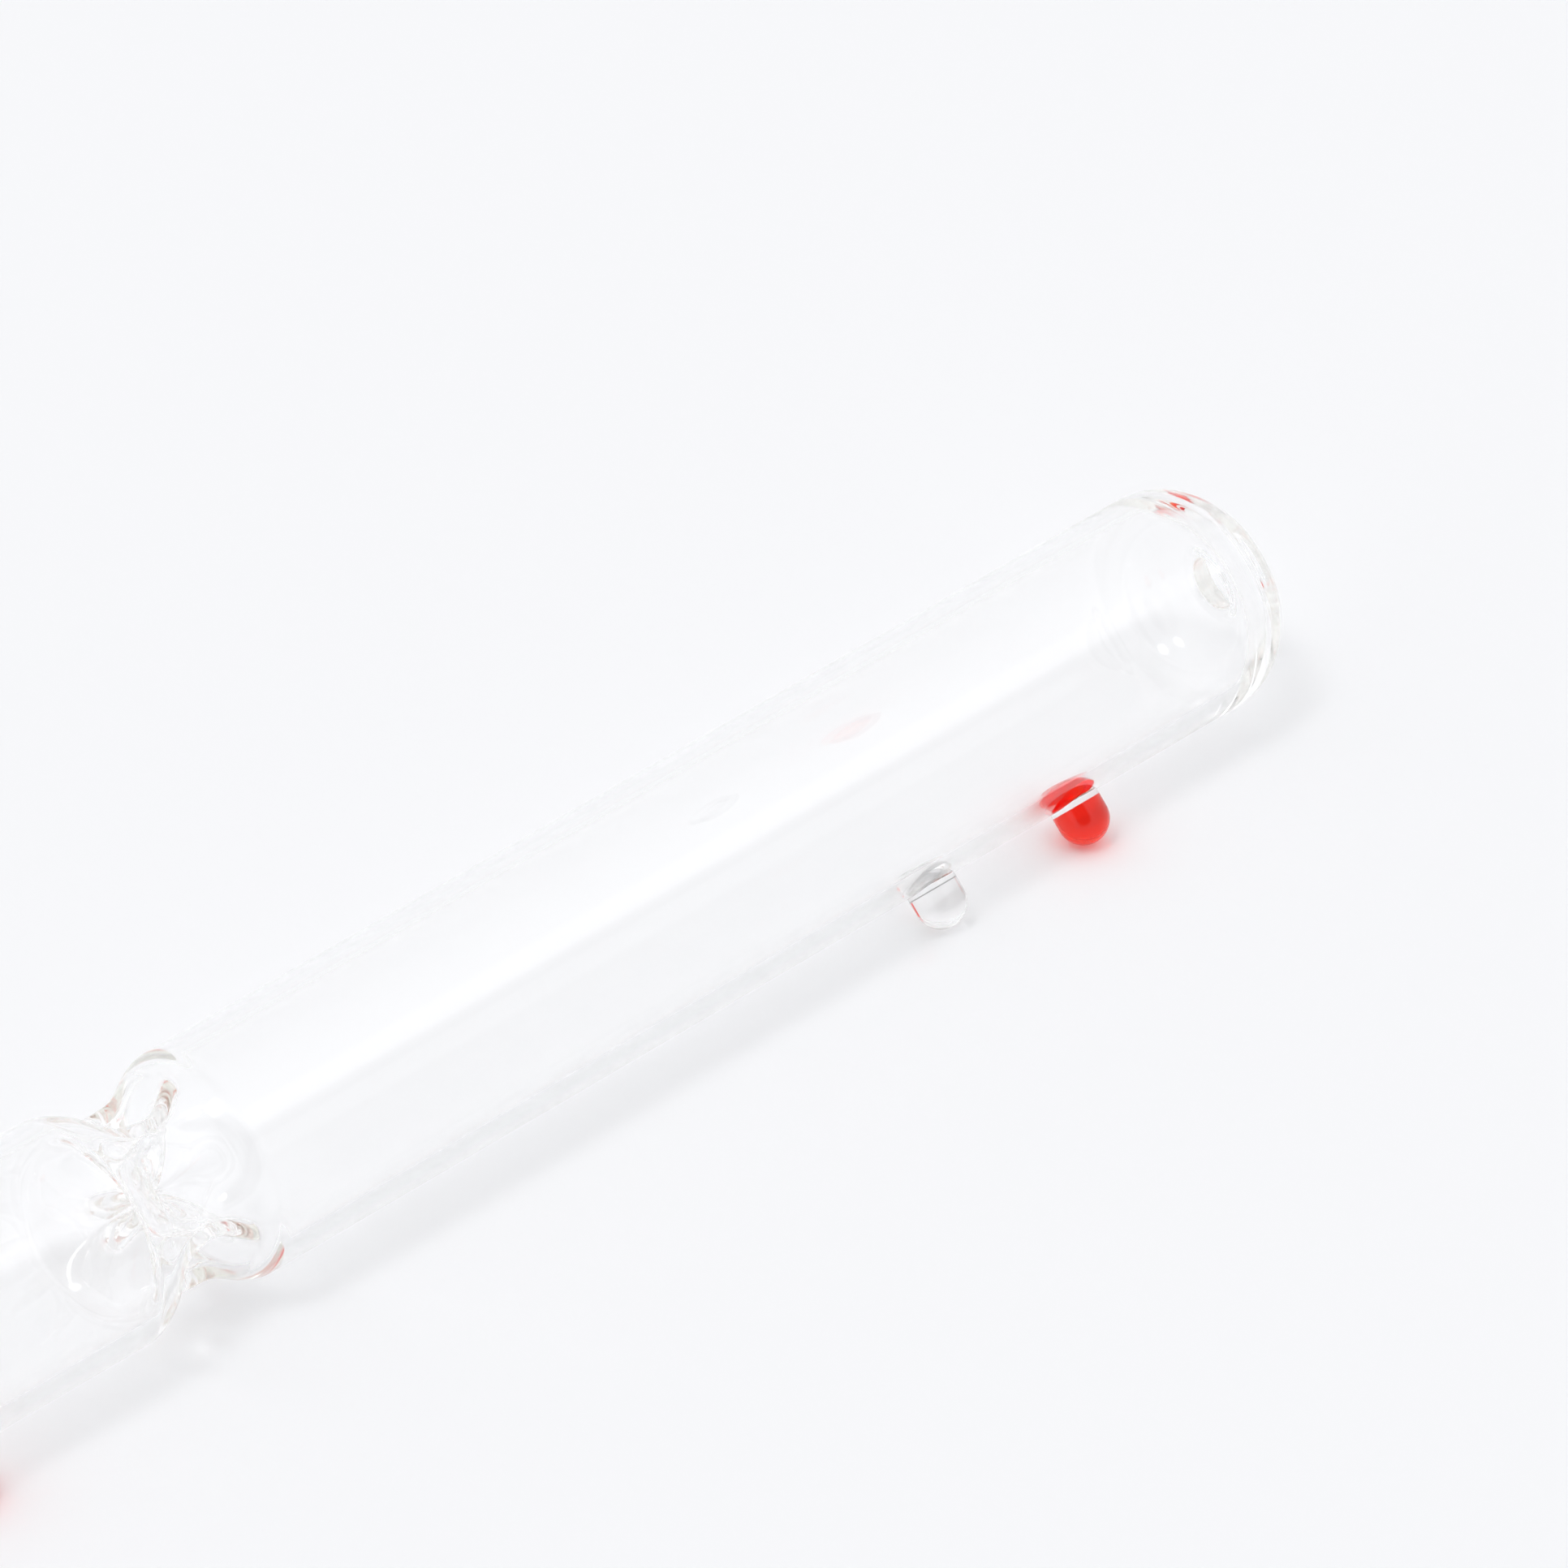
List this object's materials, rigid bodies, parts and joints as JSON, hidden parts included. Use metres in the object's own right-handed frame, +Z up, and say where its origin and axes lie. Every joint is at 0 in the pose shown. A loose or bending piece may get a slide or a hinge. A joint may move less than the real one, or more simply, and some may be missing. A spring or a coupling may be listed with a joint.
{
  "type": "clear glass tube with pinched waist",
  "caption": "Clear glass tube lying on four small round-ended glass feet: rounded end with a small lipped mouth, pinched waist partway along, and a wide open front end.",
  "frame": {"origin": "centre of the small mouth's hole, on the tube's axis, in the plane of the rounded end under the lip", "axes": "+X along the tube's axis and out of the small mouth, +Z up with the tube lying on its feet"},
  "size_m": [0.237, 0.026, 0.0252],
  "materials": {
    "clear_glass": "gloss",
    "red_glass": "gloss"
  },
  "bodies": {
    "root": {"mouth_lip": "clear_glass", "shoulder": "clear_glass", "chamber_tube": "clear_glass", "pinched_waist": "clear_glass", "front_tube": "clear_glass", "front_rim": "clear_glass", "rear_red_foot": "red_glass", "rear_clear_foot": "clear_glass", "front_red_foot": "red_glass", "front_clear_foot": "clear_glass"}
  },
  "joints": []
}
